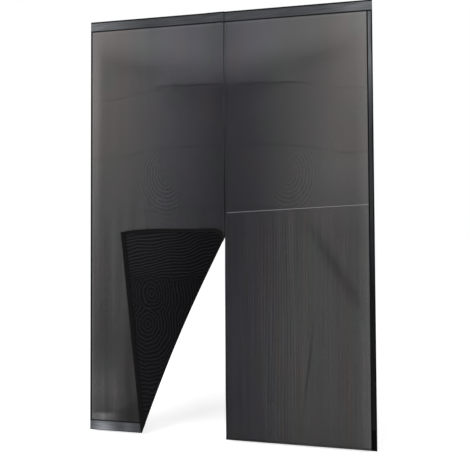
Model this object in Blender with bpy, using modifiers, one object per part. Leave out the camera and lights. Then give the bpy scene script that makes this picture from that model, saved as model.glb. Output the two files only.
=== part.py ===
"""Adhesive insect screen for a doorway: two net panels that hang side by side from a ribbed header
band, with hook tape that sticks to the door frame. The lower inner corner of the left panel is
turned up and lies in front of it."""

import math

import bmesh
import bpy
import numpy as np

# Driving dimensions, in metres. Heights are measured up from the bottom edge of the panels.
PANEL_WIDTH = 0.750
SCREEN_HEIGHT = 2.200
HEADER_HEIGHT = 0.057
HEADER_LAP = 0.034
LEFT_SIDE_WIDTH = 0.010
RIGHT_SIDE_WIDTH = 0.028
RIGHT_FOOT_HEIGHT = 0.098
INNER_BINDING_WIDTH = 0.009
BOTTOM_BAND_HEIGHT = 0.054
BOTTOM_HEM_HEIGHT = 0.010

NET_WALL = 0.0006
BAND_WALL = 0.0008
TAPE_WALL = 0.0014
TAPE_INSET = 0.001
GAP = 0.0003
HEADER_RIB = 0.0007
SIDE_RIB = 0.0005
BAND_RIB = 0.0004

# The turned-up corner: its fold runs from the inner edge down to the bottom edge
FOLD_TOP = 1.040
FOLD_RUN = 0.460
FOLD_RADIUS = 0.0045
FOLD_BOW = 0.019
FLAP_CORNER_X = -0.572
FLAP_CORNER_HEIGHT = 1.055
FLAP_ARCH = 0.085
ARCH_RISE = 0.043
ARCH_FALL = 0.260
FLAP_SAG = 0.006

# Where a band crosses the fold, its rows lie along the fold this far before and after it
BINDING_TURN = (0.060, 0.030)
BAND_TURN = (0.030, 0.040)
TURN_REACH = 0.100
HANGING_BAND_STEP = 0.060
TURNED_BAND_STEP = 0.035

# The soft relief of the cloth: creases across it, upright ripples low on the right, two soft folds
CREASE_FOOT = 0.200
CREASE_PITCH = 0.320
CREASE_DEPTH = 0.0030
CREASE_DROP = 0.055
CREASE_LEVEL_TO = 0.150
CREASE_DROP_TO = 0.600
RIPPLE_TOP = 1.180
RIPPLE_RUN = 0.350
RIPPLE_PITCH = 0.094
RIPPLE_DEPTH = 0.0045
HEM_FADE = 0.250
SOFT_FOLDS = (((0.45, 1.18), (0.68, 0.72)), ((0.44, 0.57), (0.37, 0.08)))
SOFT_FOLD_DEPTH = 0.0040
SOFT_FOLD_WIDTH = 0.035
RELIEF_FADE = 0.100
EDGE_STILL = 0.040
LEAD_RUN = 0.084
LEAD_DROP = 0.280
CALM_RUN = 0.300

# Places that follow from the sizes above
TOP_Z = HEADER_HEIGHT / 2
BOTTOM_Z = TOP_Z - SCREEN_HEIGHT
LEAF_LIFT = NET_WALL / 2 + GAP + BAND_WALL / 2
TURN_DEPTH = LEAF_LIFT + BAND_WALL / 2
NET_Y = -(TAPE_WALL + GAP + BAND_WALL + GAP + NET_WALL / 2)
HEADER_LEAD = 2 * TURN_DEPTH + HEADER_RIB + GAP
LEAD_END = HEADER_LAP + 0.002
LEAD_START = LEAD_END + LEAD_RUN
HEADER_EDGE = SCREEN_HEIGHT - HEADER_HEIGHT
STILL_HEIGHT = HEADER_EDGE - 0.010
INNER_STILL = INNER_BINDING_WIDTH + 0.003
BOTTOM_STILL = BOTTOM_BAND_HEIGHT + 0.006
HEM_STILL = BOTTOM_HEM_HEIGHT + 0.004
NET_EDGE = TURN_DEPTH + GAP
NET_BOTTOM_EDGE = 2.4 * TURN_DEPTH
ROW_STEP = CREASE_PITCH / 7
COLUMN_STEP = RIPPLE_PITCH / 3
FOLD_LENGTH = math.hypot(FOLD_RUN, FOLD_TOP)
FOLD_ALONG = np.array([-FOLD_RUN, -FOLD_TOP]) / FOLD_LENGTH
FOLD_OUT = np.array([FOLD_TOP, -FOLD_RUN]) / FOLD_LENGTH
ROLL_DROP = math.pi * FOLD_RADIUS / -FOLD_OUT[1]


def ramp(value, start, end):
    """0 before start, 1 past end, and straight between."""
    return np.clip((value - start) / (end - start), 0.0, 1.0)


def eased(value, start, end):
    """0 before start, 1 past end, and an even curve between."""
    share = ramp(value, start, end)
    return share * share * (3 - 2 * share)


def fold_bow(along):
    """How far the fold curves in from the straight line between its ends."""
    return FOLD_BOW * np.sin(math.pi * np.clip(along / FOLD_LENGTH, 0.0, 1.0))


def fold_distances(x, height):
    """Distance along the fold from its top end, and distance past it towards the free corner."""
    down = height - FOLD_TOP
    along = x * FOLD_ALONG[0] + down * FOLD_ALONG[1]
    return along, x * FOLD_OUT[0] + down * FOLD_OUT[1] + fold_bow(along)


def flap_pull():
    """How far the flap moves for each metre past the roll, so that its free corner lands in place."""
    along, past = fold_distances(np.array(0.0), np.array(0.0))
    foot = np.array([0.0, FOLD_TOP]) + along * FOLD_ALONG - fold_bow(along) * FOLD_OUT
    corner = np.array([FLAP_CORNER_X, FLAP_CORNER_HEIGHT])
    return (corner - foot) / (past - math.pi * FOLD_RADIUS)


def turned_up(x, height):
    """The place of a point of the flat left panel once the corner is turned: across, up, forward."""
    past = fold_distances(x, height)[1]
    beyond = np.maximum(past - math.pi * FOLD_RADIUS, 0.0)
    angle = np.clip(past / FOLD_RADIUS, 0.0, math.pi)
    out = FOLD_RADIUS * np.sin(angle) - np.maximum(past, 0.0)
    pull = flap_pull()
    # Shares of the three corners of the flap: fold top, fold foot and free corner
    of_top = height / FOLD_TOP
    of_foot = -x / FOLD_RUN
    of_free = np.clip(1 - of_top - of_foot, 0.0, 1.0) * (beyond > 0)
    reach = of_free / np.maximum(1 - of_foot, 1e-6)
    arch = FLAP_ARCH * (1 - np.exp(-reach / ARCH_RISE)) * np.exp(-reach / ARCH_FALL)
    arch -= FLAP_SAG * np.sin(math.pi * reach)
    across = x + out * FOLD_OUT[0] + beyond * pull[0]
    up = height + out * FOLD_OUT[1] + beyond * pull[1] + arch * (1 - of_foot) ** 2
    return across, up, FOLD_RADIUS * (1 - np.cos(angle))


def soft_fold(x, height, start, end):
    """A low ridge along the line from start to end."""
    line = np.subtract(end, start)
    share = ((x - start[0]) * line[0] + (height - start[1]) * line[1]) / line.dot(line)
    aside = (x - start[0]) * line[1] - (height - start[1]) * line[0]
    aside = aside / math.hypot(line[0], line[1])
    return np.exp(-((aside / SOFT_FOLD_WIDTH) ** 2)) * np.exp(-((2.2 * (share - 0.5)) ** 4))


class Panel:
    """One net panel. side is -1 for the left one and +1 for the right one."""

    def __init__(self, side):
        self.side = side

    def relief(self, x, height):
        """How far the cloth bulges forward. It is even across each bound edge."""
        inward = np.clip(np.abs(x), INNER_STILL, None)
        x = self.side * inward
        height = np.maximum(height, BOTTOM_STILL if self.side < 0 else HEM_STILL)
        phase = (height + crease_drop(inward) - CREASE_FOOT) / CREASE_PITCH
        bulge = CREASE_DEPTH * np.abs(np.sin(math.pi * phase))
        if self.side > 0:
            below = eased(RIPPLE_TOP - height, 0.0, RIPPLE_RUN)
            wave = 1 + np.sin(2 * math.pi * x / RIPPLE_PITCH + 1.5 * np.sin(7 * x + height))
            bulge = bulge * (1 - below) + RIPPLE_DEPTH * below * wave
            for start, end in SOFT_FOLDS:
                bulge += SOFT_FOLD_DEPTH * soft_fold(x, height, start, end)
            bulge *= eased(height - HEM_STILL, 0.0, HEM_FADE)
        bulge *= eased(PANEL_WIDTH - inward, EDGE_STILL, EDGE_STILL + RELIEF_FADE)
        bulge *= eased(STILL_HEIGHT - height, 0.0, RELIEF_FADE)
        if self.side < 0:
            bulge *= eased(-fold_distances(x, height)[1], 0.0, RELIEF_FADE)
            bulge *= eased(height - BOTTOM_STILL, 0.0, RELIEF_FADE)
        return bulge

    def lead(self, x, height):
        """The left panel steps forward at the centre, where its header laps over the right one."""
        if self.side > 0:
            return np.zeros_like(x)
        step = ramp(x, -LEAD_START, -LEAD_END)
        return HEADER_LEAD * step * ramp(height, STILL_HEIGHT - LEAD_DROP, STILL_HEIGHT)

    def middle(self, x, height):
        """The middle of the cloth's thickness at a place on the flat panel."""
        forward = self.relief(x, height) + self.lead(x, height)
        if self.side < 0:
            x, height, rolled = turned_up(x, height)
            forward = forward + rolled
        return np.stack([x, NET_Y - forward, BOTTOM_Z + height], axis=-1)

    def at(self, x, height, lift=0.0):
        """A point lifted off the cloth on the side that faces forward on the flat panel."""
        step = 1e-5
        right = self.middle(x + step, height) - self.middle(x - step, height)
        up = self.middle(x, height + step) - self.middle(x, height - step)
        normal = np.cross(right, up)
        normal /= np.linalg.norm(normal, axis=-1, keepdims=True)
        return self.middle(x, height) + np.asarray(lift)[..., None] * normal


LEFT = Panel(-1)
RIGHT = Panel(1)


def fold_curve():
    """The x places and the heights of the left panel's fold, from its foot up to its top."""
    along = np.linspace(FOLD_LENGTH, 0.0, 400)
    points = np.array([0.0, FOLD_TOP]) + np.outer(along, FOLD_ALONG)
    points -= np.outer(fold_bow(along), FOLD_OUT)
    return points[:, 0], points[:, 1]


def fold_x(height):
    return np.interp(height, fold_curve()[1], fold_curve()[0])


def fold_height(x):
    return np.interp(x, *fold_curve())


def flap_drops(length):
    """Distances down a cloth line from the fold to the bottom: close over the roll, then wider."""
    rolled = np.minimum(length[:, None], ROLL_DROP * np.linspace(0.0, 1.0, 7))
    beyond = np.outer(np.maximum(length - ROLL_DROP, 0.0), np.linspace(0.0, 1.0, 12)[1:] ** 2)
    return np.concatenate([rolled, rolled[:, -1:] + beyond], axis=1)


def steps(start, end, longest):
    """Even places from start to end, no further apart than longest."""
    count = max(1, math.ceil(abs(end - start) / longest - 1e-6))
    return np.linspace(start, end, count + 1)


def joined(*runs):
    """Runs of places end to end, each shared end kept once."""
    parts = [runs[0]]
    parts += [run[1:] for run in runs[1:]]
    return np.concatenate(parts)


def crease_rows(top, bottom):
    """Row heights from top down to bottom that include each packing crease between them."""
    lowest = math.ceil((bottom - CREASE_FOOT) / ROW_STEP)
    highest = math.floor((top - CREASE_FOOT) / ROW_STEP)
    inner = CREASE_FOOT + np.arange(lowest, highest + 1) * ROW_STEP
    inner = inner[(inner > bottom + ROW_STEP / 4) & (inner < top - ROW_STEP / 4)]
    return np.concatenate([[top], inner[::-1], [bottom]])


def crease_drop(x):
    """The packing creases sag towards the outer sides."""
    return CREASE_DROP * ramp(np.abs(x), CREASE_LEVEL_TO, CREASE_DROP_TO) ** 2


def calm_share(height, bottom):
    """Rows follow the creases in full only away from the header and the bottom."""
    return np.minimum(ramp(STILL_HEIGHT - height, 0.0, CALM_RUN), ramp(height - bottom, 0.0, CALM_RUN))


# Rows of the two nets, from the top down. Those past the fold start at its upper end.
TOP_EDGE_ROWS = np.array([SCREEN_HEIGHT - NET_EDGE])
RIGHT_ROWS = joined(
    np.concatenate([TOP_EDGE_ROWS, crease_rows(STILL_HEIGHT, HEM_STILL)]),
    np.array([HEM_STILL, NET_BOTTOM_EDGE]),
)
TIP_ROWS = np.linspace(ROLL_DROP, 0.0, 7)
FOLD_ROWS = np.concatenate(
    [crease_rows(float(fold_height(-NET_EDGE - GAP)), BOTTOM_STILL), NET_BOTTOM_EDGE + TIP_ROWS]
)
LEFT_ROWS = np.concatenate([TOP_EDGE_ROWS, crease_rows(STILL_HEIGHT, FOLD_ROWS[0] + 0.02)])


def material(name, colour, roughness):
    made = bpy.data.materials.new(name)
    made.use_nodes = True
    shader = made.node_tree.nodes["Principled BSDF"]
    shader.inputs["Base Color"].default_value = (*colour, 1.0)
    shader.inputs["Roughness"].default_value = roughness
    shader.inputs["Metallic"].default_value = 0.0
    made.diffuse_color = (*colour, 1.0)
    return made


def add_grid(mesh, points):
    """A grid primitive whose vertices take the places in points, an array of rows by columns."""
    rows, columns = points.shape[:2]
    made = bmesh.ops.create_grid(mesh, x_segments=columns - 1, y_segments=rows - 1, size=1.0)
    for vertex in made["verts"]:
        column = round((vertex.co.x + 1) / 2 * (columns - 1))
        row = round((vertex.co.y + 1) / 2 * (rows - 1))
        vertex.co = points[row, column]


def cloth(name, grids, wall, look):
    """One closed cloth piece: open grids joined edge to edge, then given their thickness."""
    mesh = bmesh.new()
    for points in grids:
        add_grid(mesh, points)
    bmesh.ops.remove_doubles(mesh, verts=mesh.verts, dist=1e-5)
    bmesh.ops.recalc_face_normals(mesh, faces=mesh.faces)
    data = bpy.data.meshes.new(name)
    mesh.to_mesh(data)
    mesh.free()
    data.shade_smooth()
    data.set_sharp_from_angle(angle=math.radians(40))
    data.materials.append(look)
    piece = bpy.data.objects.new(name, data)
    thickness = piece.modifiers.new("Wall", "SOLIDIFY")
    thickness.thickness = wall
    thickness.offset = 0.0
    thickness.use_even_offset = True
    SCREEN.objects.link(piece)
    return piece


def strip(name, panel, place, rows, width, ribs, rib_height, look):
    """A band folded round an edge of a panel: ribbed front leaf, turn and back leaf in one piece.

    place(away, row) gives the flat panel's x and height at a distance in from the edge."""
    turn = np.linspace(math.pi / 2, -math.pi / 2, 5)
    share = np.linspace(1.0, 0.0, 4 * ribs + 1 if ribs else 3)[:-1]
    raised = rib_height * (0.5 - 0.5 * np.cos(2 * math.pi * ribs * share))
    leaf_share = np.concatenate([share, np.zeros(5), [1.0]])
    turn_away = TURN_DEPTH - LEAF_LIFT * np.cos(turn)
    away = np.concatenate([np.full(len(share), TURN_DEPTH), turn_away, [TURN_DEPTH]])
    lift = np.concatenate([LEAF_LIFT + raised, LEAF_LIFT * np.sin(turn), [-LEAF_LIFT]])

    edge = panel.at(*place(np.zeros_like(rows), rows))
    along = np.gradient(edge, axis=0)
    along /= np.linalg.norm(along, axis=1, keepdims=True)
    inward = panel.at(*place(np.full_like(rows, TURN_DEPTH), rows)) - edge
    inward -= (inward * along).sum(axis=1, keepdims=True) * along
    stretch = np.linalg.norm(inward, axis=1) / TURN_DEPTH
    flat = away[None] / stretch[:, None]
    flat += leaf_share[None] * (width - TURN_DEPTH / stretch[:, None])
    x, height = place(flat, rows[:, None] + 0 * flat)
    return cloth(name, [panel.at(x, height, lift[None] + 0 * flat)], BAND_WALL, look)


def slab(name, x_range, height_range, look):
    """A flat length of hook tape, its sticky back on the door frame."""
    bpy.ops.mesh.primitive_cube_add(size=1.0)
    piece = bpy.context.active_object
    piece.name = name
    piece.data.name = name
    size = (x_range[1] - x_range[0], TAPE_WALL, height_range[1] - height_range[0])
    middle_height = sum(height_range) / 2
    piece.dimensions = size
    piece.location = (sum(x_range) / 2, -TAPE_WALL / 2, BOTTOM_Z + middle_height)
    bpy.context.view_layer.update()
    bpy.ops.object.transform_apply(location=False, rotation=False, scale=True)
    piece.data.materials.append(look)
    for holder in piece.users_collection:
        holder.objects.unlink(piece)
    SCREEN.objects.link(piece)
    return piece


def near_fold(place, centre, span):
    """1 at the places where a band crosses the fold, and 0 further than the turn's reach from them."""
    start = centre - span[0]
    end = centre + span[1]
    return ramp(place, start - TURN_REACH, start) * ramp(-place, -end - TURN_REACH, -end)


def left_inner_place(away, row):
    """Rows of the inner binding lie along the fold where they cross it."""
    crossing = near_fold(row, FOLD_TOP, BINDING_TURN)
    x = -GAP - away
    return x, row + (fold_height(x) - FOLD_TOP) * crossing


def left_bottom_place(away, row):
    """Rows of the bottom band lie along the fold where they cross it."""
    crossing = near_fold(row, -FOLD_RUN, BAND_TURN)
    return row + (fold_x(away) + FOLD_RUN) * crossing, away


def left_net(look):
    """The left panel's net: the hanging part, and the turned-up corner sewn on along the fold."""
    inner = -NET_EDGE - GAP
    outer = NET_EDGE - PANEL_WIDTH
    heights = np.concatenate([LEFT_ROWS, FOLD_ROWS])
    ends = np.where(heights > FOLD_ROWS[0], inner, fold_x(heights))
    columns = joined(
        steps(outer, -LEAD_START, 2 * COLUMN_STEP),
        np.array([-LEAD_START, -(LEAD_START + LEAD_END) / 2, -LEAD_END, -INNER_STILL, inner]),
    )
    x = outer + np.outer(ends - outer, (columns - outer) / (inner - outer))
    drop = crease_drop(x) - crease_drop(ends)[:, None]
    height = heights[:, None] - drop * calm_share(heights, BOTTOM_STILL)[:, None]
    hanging = LEFT.at(x, height)

    drops = flap_drops(FOLD_ROWS - NET_BOTTOM_EDGE)
    flap = LEFT.at(ends[len(LEFT_ROWS):, None] + 0 * drops, FOLD_ROWS[:, None] - drops)
    return cloth("left_net", [hanging, flap], NET_WALL, look)


def right_net(look):
    """The right panel's net: one hanging sheet with soft ripples below its cross line."""
    inner = NET_EDGE + GAP
    outer = PANEL_WIDTH - NET_EDGE
    columns = joined(np.array([inner, INNER_STILL]), steps(INNER_STILL, outer, COLUMN_STEP))
    x, height = np.meshgrid(columns, RIGHT_ROWS)
    calm = calm_share(height, RIPPLE_TOP)
    return cloth("right_net", [RIGHT.at(x, height - crease_drop(x) * calm)], NET_WALL, look)


def left_inner_rows():
    """Row heights of the inner binding: those of the net, down to its end at the bottom band."""
    hanging = LEFT_ROWS[LEFT_ROWS < STILL_HEIGHT + GAP]
    flap = FOLD_TOP - flap_drops(np.array([FOLD_TOP - NET_BOTTOM_EDGE]))[0]
    end = BOTTOM_BAND_HEIGHT + 4 * GAP
    return np.concatenate([[HEADER_EDGE - GAP], hanging, flap[flap > end + ROW_STEP / 4], [end]])


def left_bottom_rows():
    """Places along the bottom band: along the panel, round the fold, and up the flap."""
    roll = math.pi * FOLD_RADIUS / FOLD_TOP * FOLD_LENGTH
    hanging = steps(BAND_WALL - PANEL_WIDTH, -FOLD_RUN, HANGING_BAND_STEP)
    turn = np.linspace(-FOLD_RUN, roll - FOLD_RUN, 9)
    return joined(hanging, turn, steps(roll - FOLD_RUN, -GAP - BAND_WALL, TURNED_BAND_STEP))


def bands(look, side_look):
    """The bands sewn round the edges of the two panels."""
    lead_middle = (LEAD_START + LEAD_END) / 2
    header_rows = np.array([BAND_WALL - PANEL_WIDTH, -LEAD_START, -lead_middle, -LEAD_END, -GAP])
    strip("left_header_band", LEFT, lambda away, row: (row, SCREEN_HEIGHT - away),
          header_rows, HEADER_HEIGHT, 4, HEADER_RIB, look)
    header_rows = np.array([-HEADER_LAP, PANEL_WIDTH / 2, PANEL_WIDTH])
    strip("right_header_band", RIGHT, lambda away, row: (row, SCREEN_HEIGHT - away),
          header_rows, HEADER_HEIGHT, 4, HEADER_RIB, look)

    top = HEADER_EDGE - GAP
    strip("left_side_binding", LEFT, lambda away, row: (away - PANEL_WIDTH, row),
          np.array([BOTTOM_BAND_HEIGHT + GAP, top]), LEFT_SIDE_WIDTH, 1, SIDE_RIB, side_look)
    strip("right_side_binding", RIGHT, lambda away, row: (PANEL_WIDTH - away, row),
          np.array([RIGHT_FOOT_HEIGHT + GAP, top]), RIGHT_SIDE_WIDTH, 2, SIDE_RIB, side_look)
    strip("right_side_binding_foot", RIGHT, lambda away, row: (PANEL_WIDTH - away, row),
          np.array([0.0, RIGHT_FOOT_HEIGHT]), RIGHT_SIDE_WIDTH, 2, SIDE_RIB, side_look)

    strip("left_inner_binding", LEFT, left_inner_place,
          left_inner_rows(), INNER_BINDING_WIDTH, 0, 0.0, side_look)
    inner_rows = RIGHT_ROWS[(RIGHT_ROWS < STILL_HEIGHT + GAP) & (RIGHT_ROWS > HEM_STILL - GAP)]
    strip("right_inner_binding", RIGHT, lambda away, row: (GAP + away, row),
          np.concatenate([[top], inner_rows[:-1], [BOTTOM_HEM_HEIGHT + GAP]]),
          INNER_BINDING_WIDTH, 0, 0.0, side_look)

    strip("left_bottom_band", LEFT, left_bottom_place,
          left_bottom_rows(), BOTTOM_BAND_HEIGHT, 3, BAND_RIB, look)
    hem_end = PANEL_WIDTH - RIGHT_SIDE_WIDTH - GAP
    columns = joined(np.array([GAP, NET_EDGE + GAP, INNER_STILL]),
                     steps(INNER_STILL, PANEL_WIDTH - NET_EDGE, COLUMN_STEP))
    hem_rows = np.concatenate([columns[columns < hem_end - GAP], [hem_end]])
    strip("right_bottom_hem", RIGHT, lambda away, row: (row, away),
          hem_rows, BOTTOM_HEM_HEIGHT, 0, 0.0, side_look)


def tapes(look):
    """The hook tapes that stick to the lintel and the two door posts."""
    lintel_edge = HEADER_EDGE + TAPE_INSET
    outer = PANEL_WIDTH - TAPE_INSET
    slab("lintel_hook_tape", (-outer, outer), (lintel_edge, SCREEN_HEIGHT - TAPE_INSET), look)
    heights = (TAPE_INSET, lintel_edge - GAP)
    slab("left_side_hook_tape", (-outer, LEFT_SIDE_WIDTH - PANEL_WIDTH), heights, look)
    slab("right_side_hook_tape", (outer - RIGHT_SIDE_WIDTH + 2 * TAPE_INSET, outer), heights, look)


for old in list(bpy.data.objects):
    bpy.data.objects.remove(old)
SCREEN = bpy.data.collections.new("adhesive_insect_screen")
bpy.context.scene.collection.children.link(SCREEN)

NET = material("net", (0.045, 0.045, 0.050), 0.75)
WEBBING = material("webbing", (0.030, 0.031, 0.035), 0.70)
BINDING = material("binding", (0.014, 0.014, 0.016), 0.65)
HOOK_TAPE = material("hook_tape", (0.010, 0.010, 0.011), 0.90)

left_net(NET)
right_net(NET)
bands(WEBBING, BINDING)
tapes(HOOK_TAPE)
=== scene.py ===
import math

import bmesh
import bpy
import numpy as np
from mathutils import Matrix, Vector


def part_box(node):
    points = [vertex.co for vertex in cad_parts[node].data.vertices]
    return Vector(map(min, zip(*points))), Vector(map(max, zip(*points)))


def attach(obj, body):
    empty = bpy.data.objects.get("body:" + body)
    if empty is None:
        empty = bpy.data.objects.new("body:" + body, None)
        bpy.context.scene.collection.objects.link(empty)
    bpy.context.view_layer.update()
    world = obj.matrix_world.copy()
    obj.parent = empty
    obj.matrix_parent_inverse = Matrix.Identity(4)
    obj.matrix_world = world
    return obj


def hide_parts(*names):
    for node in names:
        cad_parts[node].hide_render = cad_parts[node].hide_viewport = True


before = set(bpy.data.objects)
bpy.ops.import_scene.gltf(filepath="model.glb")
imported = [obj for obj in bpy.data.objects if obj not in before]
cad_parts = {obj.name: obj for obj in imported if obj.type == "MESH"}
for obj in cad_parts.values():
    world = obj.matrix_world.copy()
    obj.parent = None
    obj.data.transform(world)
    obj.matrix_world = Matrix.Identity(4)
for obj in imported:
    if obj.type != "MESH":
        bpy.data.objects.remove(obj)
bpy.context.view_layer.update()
print("frame loaded:", len(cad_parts), "nodes")

# Sizes of the screen in metres. Heights are measured up from the bottom edge of the panels.
screen = dict(
    panelWidth=0.750,
    height=2.200,
    headerHeight=0.057,
    headerLap=0.034,
    gap=0.0003,
    netWall=0.0006,
    bandWall=0.0008,
    tapeWall=0.0014,
    headerRib=0.0007,
    leftSide=0.010,
    rightSide=0.028,
    rightFoot=0.098,
    innerBinding=0.009,
    bottomBand=0.054,
    bottomHem=0.010,
    sideRib=0.0005,
    bottomRib=0.0004,
    leadRun=0.084,
    leadDrop=0.280,
)
topZ = screen["headerHeight"] / 2
bottomZ = topZ - screen["height"]
leafLift = screen["netWall"] / 2 + screen["gap"] + screen["bandWall"] / 2
turnDepth = leafLift + screen["bandWall"] / 2
netY = -(screen["tapeWall"] + 2 * screen["gap"] + screen["bandWall"] + screen["netWall"] / 2)
headerEdge = screen["height"] - screen["headerHeight"]
netEdge = turnDepth + screen["gap"]
netFoot = 2.4 * turnDepth

# The corner that is turned up: its fold, the arch of its top edge and where its free corner lies
corner = dict(
    foldTop=1.040,
    foldRun=0.460,
    foldRadius=0.0045,
    foldBow=0.019,
    freeX=-0.572,
    freeHeight=1.055,
    arch=0.085,
    archRise=0.043,
    archFall=0.26,
    sag=0.006,
    bindingTurn=(0.060, 0.030),
    bandTurn=(0.030, 0.040),
    turnReach=0.100,
)
foldLength = math.hypot(corner["foldRun"], corner["foldTop"])
foldAlong = np.array([-corner["foldRun"], -corner["foldTop"]]) / foldLength
foldOut = np.array([corner["foldTop"], -corner["foldRun"]]) / foldLength

# The soft relief of the cloth: packing creases, upright ripples low on the right, two soft folds.
# Below or beside a "still" place the cloth keeps the shape that it has there.
relief = dict(
    creasePitch=0.320,
    creaseFoot=0.200,
    creaseDepth=0.0030,
    creaseDrop=0.055,
    dropFrom=0.15,
    dropTo=0.60,
    rippleTop=1.180,
    rippleRun=0.350,
    ripplePitch=0.094,
    rippleDepth=0.0045,
    hemFade=0.250,
    foldDepth=0.0040,
    foldWidth=0.035,
    fade=0.100,
    edgeStill=0.040,
    stillTop=headerEdge - 0.010,
    stillInner=0.012,
    stillFoot={-1: 0.060, 1: 0.014},
)
softFolds = [((0.43, 1.09), (0.69, 0.67)), ((0.447, 0.58), (0.397, 0.165))]
headerLead = 2 * turnDepth + screen["headerRib"] + screen["gap"]
leadEnd = screen["headerLap"] + 0.002
leadStart = leadEnd + screen["leadRun"]


# The shape of the two panels, as functions of a place on the flat cloth


def ramp(value, start, end):
    # 0 before start, 1 past end, straight between
    return np.clip((value - start) / (end - start), 0.0, 1.0)


def eased(value, start, end):
    # the same with an even curve: share^2 * (3 - 2 share)
    share = ramp(value, start, end)
    return share * share * (3 - 2 * share)


def foldBow(along):
    # half a sine wave over the length of the fold
    return corner["foldBow"] * np.sin(math.pi * np.clip(along / foldLength, 0.0, 1.0))


def foldDistances(x, height):
    # along = dot product with the fold's direction, past = dot product with its normal plus the bow
    down = height - corner["foldTop"]
    along = x * foldAlong[0] + down * foldAlong[1]
    return along, x * foldOut[0] + down * foldOut[1] + foldBow(along)


def flapPull():
    # way from the fold to the free corner's resting place, for each metre of cloth past the roll
    along, past = foldDistances(0.0, 0.0)
    foot = np.array([0.0, corner["foldTop"]]) + along * foldAlong - foldBow(along) * foldOut
    rest = np.array([corner["freeX"], corner["freeHeight"]])
    return (rest - foot) / (past - math.pi * corner["foldRadius"])


def turnedUp(x, height):
    # past the fold the cloth goes round half a circle, then back over itself along the pull;
    # the edge between fold top and free corner is raised by
    # arch * (1 - e^(-reach / rise)) * e^(-reach / fall) - sag * sin(pi * reach)
    radius = corner["foldRadius"]
    past = foldDistances(x, height)[1]
    beyond = np.maximum(past - math.pi * radius, 0.0)
    angle = np.clip(past / radius, 0.0, math.pi)
    out = radius * np.sin(angle) - np.maximum(past, 0.0)
    pull = flapPull()
    ofFoot = -x / corner["foldRun"]
    ofFree = np.clip(1 - height / corner["foldTop"] - ofFoot, 0.0, 1.0) * (beyond > 0)
    reach = ofFree / np.maximum(1 - ofFoot, 1e-6)
    arch = (1 - np.exp(-reach / corner["archRise"])) * np.exp(-reach / corner["archFall"])
    arch = corner["arch"] * arch - corner["sag"] * np.sin(math.pi * reach)
    across = x + out * foldOut[0] + beyond * pull[0]
    up = height + out * foldOut[1] + beyond * pull[1] + arch * (1 - ofFoot) ** 2
    return across, up, radius * (1 - np.cos(angle))


def creaseDrop(x):
    # the packing creases sag with the square of the way out from the middle
    return relief["creaseDrop"] * ramp(np.abs(x), relief["dropFrom"], relief["dropTo"]) ** 2


def fromLine(across, up, start, end):
    # share of the way from start to end, and distance aside, of a place on the cloth
    line = np.subtract(end, start)
    length = math.hypot(line[0], line[1])
    dx = across - start[0]
    dz = up - start[1]
    return (dx * line[0] + dz * line[1]) / length ** 2, (dx * line[1] - dz * line[0]) / length


def softFold(x, height, start, end):
    # a low ridge along a line: e^-(aside/width)^2, faded out over its ends
    share, aside = fromLine(x, height, start, end)
    return np.exp(-((aside / relief["foldWidth"]) ** 2)) * np.exp(-((2.2 * (share - 0.5)) ** 4))


def bulge(side, x, height):
    # |sin| arches between creases, plus sine ripples and folds on the right, faded at the edges
    inward = np.clip(np.abs(x), relief["stillInner"], None)
    x = side * inward
    height = np.maximum(height, relief["stillFoot"][side])
    phase = (height + creaseDrop(inward) - relief["creaseFoot"]) / relief["creasePitch"]
    forward = relief["creaseDepth"] * np.abs(np.sin(math.pi * phase))
    if side > 0:
        below = eased(relief["rippleTop"] - height, 0.0, relief["rippleRun"])
        wave = 1 + np.sin(2 * math.pi * x / relief["ripplePitch"] + 1.5 * np.sin(7 * x + height))
        forward = forward * (1 - below) + relief["rippleDepth"] * below * wave
        for start, end in softFolds:
            forward += relief["foldDepth"] * softFold(x, height, start, end)
        forward *= eased(height - relief["stillFoot"][side], 0.0, relief["hemFade"])
    still = relief["edgeStill"]
    forward *= eased(screen["panelWidth"] - inward, still, still + relief["fade"])
    forward *= eased(relief["stillTop"] - height, 0.0, relief["fade"])
    if side < 0:
        forward *= eased(-foldDistances(x, height)[1], 0.0, relief["fade"])
        forward *= eased(height - relief["stillFoot"][side], 0.0, relief["fade"])
    return forward


def middle(side, x, height):
    # the middle of the cloth's thickness: place on the wall's plane, forward by the relief;
    # the left panel also leads forward at the centre of the top, and its corner is turned up
    forward = bulge(side, x, height)
    if side < 0:
        lead = ramp(x, -leadStart, -leadEnd)
        lead = lead * ramp(height, relief["stillTop"] - screen["leadDrop"], relief["stillTop"])
        forward = forward + headerLead * lead
        x, height, rolled = turnedUp(x, height)
        forward = forward + rolled
    return np.stack([x, netY - forward, bottomZ + height], axis=-1)


def unit(vectors):
    return vectors / np.linalg.norm(vectors, axis=-1, keepdims=True)


def clothFrame(side, x, height):
    # point and normal, from central differences across and up
    step = 1e-5
    across = unit(middle(side, x + step, height) - middle(side, x - step, height))
    up = unit(middle(side, x, height + step) - middle(side, x, height - step))
    return middle(side, x, height), unit(np.cross(across, up))


def lifted(side, x, height, lift):
    # point + lift * normal
    point, normal = clothFrame(side, x, height)
    return point + np.asarray(lift)[..., None] * normal


def foldCurve():
    # the fold's line less the bow along its normal, from the bottom edge up
    along = np.linspace(foldLength, 0.0, 400)
    points = np.array([0.0, corner["foldTop"]]) + np.outer(along, foldAlong)
    points -= np.outer(foldBow(along), foldOut)
    return points[:, 0], points[:, 1]


def foldX(height):
    # where the fold is at a height
    return np.interp(height, foldCurve()[1], foldCurve()[0])


def foldHeight(x):
    # how high the fold is at a way across
    return np.interp(x, *foldCurve())


# Meshes


def gridFaces(rows, columns, first=0):
    # four corners of each cell, counted row by row
    corners = first + np.arange(rows * columns).reshape(rows, columns)
    cells = [corners[:-1, :-1], corners[:-1, 1:], corners[1:, 1:], corners[1:, :-1]]
    return np.stack(cells, axis=-1).reshape(-1, 4)


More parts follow.
